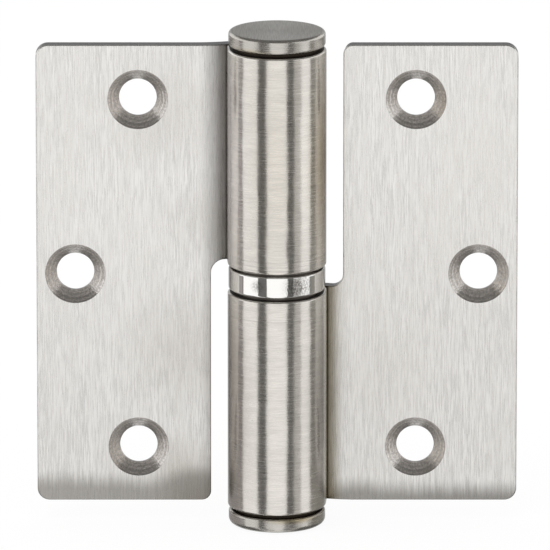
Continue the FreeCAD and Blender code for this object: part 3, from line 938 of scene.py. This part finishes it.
class HINGE_OT_caps(Operator):
    """Turn the two button caps"""

    bl_idname = "hinge.caps"
    bl_label = "Caps"

    def execute(self, context):
        sizes, finish = context.scene.hinge_sizes, context.scene.hinge_finishes
        # painted shade in the cap grooves
        groove = plain_finish("painted_groove_shade", finish.groove_shade_color, 0.6)
        materials = [cap_finish(finish), cap_end_finish(finish), groove]
        build_cap(sizes, "top_cap", "upper_half", materials)
        build_cap(sizes, "bottom_cap", "lower_half", materials)
        return {"FINISHED"}


def build_shell(sizes, materials):
    """The polished band, with both ends crimped in over the races."""
    low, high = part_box("bearing_shell")
    outside, gauge = high.x, sizes.shell_gauge
    lip = outside - sizes.lip_width
    corners = [
        (lip, low.z), (outside, low.z), (outside, high.z), (lip, high.z),
        (lip, high.z - gauge), (outside - gauge, high.z - gauge),
        (outside - gauge, low.z + gauge), (lip, low.z + gauge),
    ]
    edge, inside = 0.4 * gauge, 0.1 * gauge
    radii = [edge, gauge, gauge, edge, edge, inside, inside, edge]
    profile, normals = section(corners, radii, closed=True, steps=6)
    patches = turned(profile, normals, closed=True)
    patches.piece("bearing_shell", "band", materials, "lower_half", "ring_steel")


def build_race(name, body, sizes, materials):
    """A washer with a flange under the shell's lip and a boss that bears on the knuckle."""
    low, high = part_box(name)
    face, end = sorted((abs(low.z), abs(high.z)))
    flange, bore = high.x, knuckle_bore(sizes)
    shell_low, shell_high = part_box("bearing_shell")
    boss = shell_high.x - sizes.lip_width - CLEARANCE
    seat = -shell_low.z - sizes.shell_gauge
    corners = [(bore, face), (flange, face), (flange, seat)]
    corners += [(boss, seat), (boss, end), (bore, end)]
    profile, normals = section(corners, 0.07 * MM, closed=True)
    over = np.array([1, 1 if high.z > 0 else -1])
    patches = turned(profile * over, normals * over, closed=True)
    patches.piece(name, "ground", materials, body, "race_steel")


def build_cage(materials):
    """A stamped flat ring with a round pocket for each ball."""
    low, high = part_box("ball_cage")
    boxes = [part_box(node) for node in BALLS]
    centres = [((b[0].x + b[1].x) / 2, (b[0].y + b[1].y) / 2) for b in boxes]
    pocket = (boxes[0][1].x - boxes[0][0].x) / 2 + 0.03 * MM
    inside = 2 * math.hypot(*centres[0]) - high.x
    edge, inward = circle_loop((0, 0), high.x, CAGE_EDGE)
    loops = [(edge, -inward), circle_loop((0, 0), inside, CAGE_BORE)]
    loops += [circle_loop(centre, pocket, POCKET_EDGE) for centre in centres]
    rim = wall_section([(0, 0), (0, high.z - low.z)], 0.06 * MM, steps=3)

    def place(flat, depth, level, rise):
        points = np.concatenate([flat, depth[..., None] + low.z], axis=-1)
        return points, np.concatenate([level, rise[..., None]], axis=-1)

    patches = cut_blank(loops, [rim] * len(loops), [], place, lambda *_: 0, lambda *_: 0)
    patches.piece("ball_cage", "stamped", materials, "ball_set", "cage_brass")


def build_ball(node, materials):
    """A half circle turned about the ball's own upright axis."""
    low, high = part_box(node)
    angle = np.linspace(-math.pi / 2, math.pi / 2, BALL_RISE)
    normals = np.stack([np.cos(angle), np.sin(angle)], axis=1)
    normals[[0, -1], 0] = 0
    radius = (high.z - low.z) / 2
    centre = (low + high) / 2
    patches = turned(normals * radius, normals, around=BALL_AROUND, centre=centre)
    patches.piece(node, "polished", materials, "ball_set", "ball_steel")


class HINGE_OT_bearing(Operator):
    """Build the bearing: shell, races, cage and balls"""

    bl_idname = "hinge.bearing"
    bl_label = "Bearing"

    def execute(self, context):
        sizes, finish = context.scene.hinge_sizes, context.scene.hinge_finishes
        # the races carry painted shade, as they sit in the bearing's gap
        race = plain_finish("race_painted_shade", finish.gap_shade_color, 0.4)
        ball = plain_finish("polished_ball", finish.ring_color, 0.06, depth=0.0005)
        build_shell(sizes, [polished_ring_finish(finish)])
        build_race("bearing_upper_race", "upper_race", sizes, [race])
        build_race("bearing_lower_race", "lower_half", sizes, [race])
        build_cage([plain_finish("stamped_brass", finish.brass_color, 0.3)])
        for node in BALLS:
            build_ball(node, [ball])
        return {"FINISHED"}


class HINGE_OT_pin(Operator):
    """Turn the hinge pin"""

    bl_idname = "hinge.pin"
    bl_label = "Pin"

    def execute(self, context):
        sizes, finish = context.scene.hinge_sizes, context.scene.hinge_finishes
        low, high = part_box("hinge_pin")
        press, running = high.x, high.x - CLEARANCE
        step, nose = -sizes.bearing_space / 2, sizes.pin_nose
        corners = [
            (0, low.z), (press, low.z), (press, step), (running, step),
            (running, high.z - nose), (running - nose, high.z), (0, high.z),
        ]
        radii = [0, 0.5 * MM, 0.02 * MM, 0.02 * MM, 0.8 * MM, 0.5 * MM, 0]
        patches = turned(*section(corners, radii))
        steel = turned_finish("ground_pin", tinted(finish.cap_color, 0.95), 0.22)
        patches.piece("hinge_pin", "ground", [steel], "lower_half", "pin_steel")
        return {"FINISHED"}


# Studio

WARM, PINK, OLIVE, COOL = (1, 0.985, 0.96), (1, 0.94, 0.93), (1, 0.98, 0.9), (0.97, 0.99, 1)
# Each card's name, azimuths and elevations in degrees, brightness and tint.
CARDS = (
    ("left_flag", (-46, -24), (-75, 30), 0.13, WARM),
    ("right_flag", (24, 40), (-75, 30), 0.13, WARM),
    ("right_scrim", (40, 58), (-75, 0), 0.5, WARM),
    ("right_side_edge", (84, 94), (-30, -2), 0.24, OLIVE),
    ("right_side_flag", (94, 150), (-30, -2), 0.28, OLIVE),
    ("left_side_edge", (-93, -87), (-30, -2), 0.25, PINK),
    ("left_side_flag", (-158, -93), (-30, -2), 0.34, PINK),
    ("left_low_flag", (-150, -60), (-75, -30), 0.13, WARM),
    ("right_low_flag", (60, 150), (-75, -30), 0.13, WARM),
    ("back_flag", (150, 202), (-75, 60), 0.49, COOL),
    ("top_flag", (-180, 180), (30, 90), 0.18, WARM),
)
CARD_GRID = 17  # points along a card's side
FLOOR_RADIUS, FLOOR_POINTS = 6.0, 96
FLOOR_DROP = 0.2 * MM  # the hinge stands this far off the floor
FLOOR_GLOW = 0.93  # the share of the floor's white that is its own light
FLOOR_GREY = 0.95
SENSOR_WIDTH = 36.0
SOFTBOX_PLACE, SOFTBOX_SIZE, SOFTBOX_POWER = Vector((-0.3, -0.4, 1.0)), 0.6, 2.0


def add_sheet(name, points, faces):
    """A mesh object of the studio, with the node tree of its empty material."""
    mesh = bpy.data.meshes.new(name)
    mesh.from_pydata(points, [], faces)
    sheet = bpy.data.objects.new(name, mesh)
    bpy.context.scene.collection.objects.link(sheet)
    material = bpy.data.materials.new(name)
    material.use_nodes = True
    material.node_tree.nodes.clear()
    mesh.materials.append(material)
    return sheet, material.node_tree


def add_card(studio, name, azimuths, elevations, light):
    """A dark or grey card that only reflections see, as a photographer's flag.

    It is part of a sphere round the hinge. Azimuth 0 is towards the camera and 90 along +X.
    """
    sides = [np.radians(np.linspace(*ends, CARD_GRID)) for ends in (azimuths, elevations)]
    azimuth, elevation = np.meshgrid(*sides)
    level = np.cos(elevation)
    points = np.stack(
        [np.sin(azimuth) * level, -np.cos(azimuth) * level, np.sin(elevation)], axis=-1
    )
    points = (points * studio.card_distance).reshape(-1, 3)
    faces = grid_faces(CARD_GRID, CARD_GRID, wrap_columns=False)
    card, tree = add_sheet(name, points, faces.tolist())
    glow = add_node(tree, "Emission", {"Color": (*light, 1)}).outputs["Emission"]
    add_node(tree, "OutputMaterial", {"Surface": glow})
    for ray in ("camera", "diffuse", "transmission", "shadow"):
        setattr(card, f"visible_{ray}", False)


def add_floor(height):
    """A wide pale disc. Its white comes from its own light, and it keeps a faint shadow."""
    rim = circle(FLOOR_POINTS) * FLOOR_RADIUS
    points = np.pad(rim, ((0, 0), (0, 1)), constant_values=height)
    floor, tree = add_sheet("floor", points, [list(range(len(rim)))])
    matt = add_node(tree, "BsdfDiffuse", {"Color": (FLOOR_GREY, FLOOR_GREY, FLOOR_GREY, 1)})
    glow = add_node(tree, "Emission", {"Strength": 1.0})
    seen = add_node(tree, "LightPath", {}).outputs["Is Camera Ray"]
    shares = {
        "Fac": product(seen, FLOOR_GLOW), 1: matt.outputs["BSDF"], 2: glow.outputs["Emission"]
    }
    mix = add_node(tree, "MixShader", shares)
    add_node(tree, "OutputMaterial", {"Surface": mix.outputs["Shader"]})
    floor.visible_glossy = False


def add_aimed(name, data, place, direction):
    """Put a camera or lamp in the scene, looking in a direction."""
    made = bpy.data.objects.new(name, data)
    made.location = place
    made.rotation_mode = "QUATERNION"
    made.rotation_quaternion = direction.to_track_quat("-Z", "Y")
    bpy.context.scene.collection.objects.link(made)
    return made


class HINGE_OT_studio(Operator):
    """Set up the camera, the floor, the soft light and the cards"""

    bl_idname = "hinge.studio"
    bl_label = "Studio"

    def execute(self, context):
        scene = context.scene
        studio = scene.hinge_studio
        back = Vector((0, -math.cos(studio.elevation), math.sin(studio.elevation)))
        lens = bpy.data.cameras.new("camera")
        lens.sensor_width = SENSOR_WIDTH
        lens.lens = SENSOR_WIDTH * studio.scale * studio.distance / studio.picture
        lens.clip_start, lens.clip_end = 0.01, 50
        place = Vector(studio.aim) + back * studio.distance
        scene.camera = add_aimed("camera", lens, place, -back)

        add_floor(cad_box[0].z - FLOOR_DROP)
        for name, azimuths, elevations, brightness, tint in CARDS:
            add_card(studio, name, azimuths, elevations, tinted(tint, brightness))

        world = bpy.data.worlds.new("white_tent")
        scene.world = world
        world.use_nodes = True
        background = world.node_tree.nodes["Background"]
        feed(background, {"Color": (1, 1, 1, 1), "Strength": 1.0})

        softbox = bpy.data.lights.new("overhead_softbox", "AREA")
        softbox.shape = "DISK"
        softbox.size = SOFTBOX_SIZE
        softbox.energy = SOFTBOX_POWER
        lamp = add_aimed("overhead_softbox", softbox, SOFTBOX_PLACE, -SOFTBOX_PLACE)
        lamp.visible_glossy = False
        scene.view_settings.view_transform = "Standard"
        return {"FINISHED"}


# Panel and start


class HINGE_PT_panel(Panel):
    """Lists the hinge's operators and settings."""

    bl_idname = "HINGE_PT_panel"
    bl_label = "Ball Bearing Butt Hinge"
    bl_space_type = "VIEW_3D"
    bl_region_type = "UI"
    bl_category = "Hinge"

    def draw(self, context):
        for operator in OPERATORS:
            self.layout.operator(operator.bl_idname)
        for name in GROUPS:
            group = getattr(context.scene, name)
            box = self.layout.box()
            for setting in group.__annotations__:
                box.prop(group, setting)


OPERATORS = (HINGE_OT_leaves, HINGE_OT_caps, HINGE_OT_bearing, HINGE_OT_pin, HINGE_OT_studio)
GROUPS = {
    "hinge_sizes": HingeSizes,
    "hinge_finishes": HingeFinishes,
    "hinge_studio": HingeStudio,
}
CLASSES = (*GROUPS.values(), *OPERATORS, HINGE_PT_panel)


def register():
    """Register the classes and add the settings to the scene."""
    for cls in CLASSES:
        bpy.utils.register_class(cls)
    for name, group in GROUPS.items():
        setattr(bpy.types.Scene, name, PointerProperty(type=group))


def unregister():
    """Undo register."""
    for name in GROUPS:
        delattr(bpy.types.Scene, name)
    for cls in reversed(CLASSES):
        bpy.utils.unregister_class(cls)


def main():
    register()
    bpy.ops.hinge.leaves()
    bpy.ops.hinge.caps()
    bpy.ops.hinge.bearing()
    bpy.ops.hinge.pin()
    bpy.ops.hinge.studio()


if __name__ == "__main__":
    main()
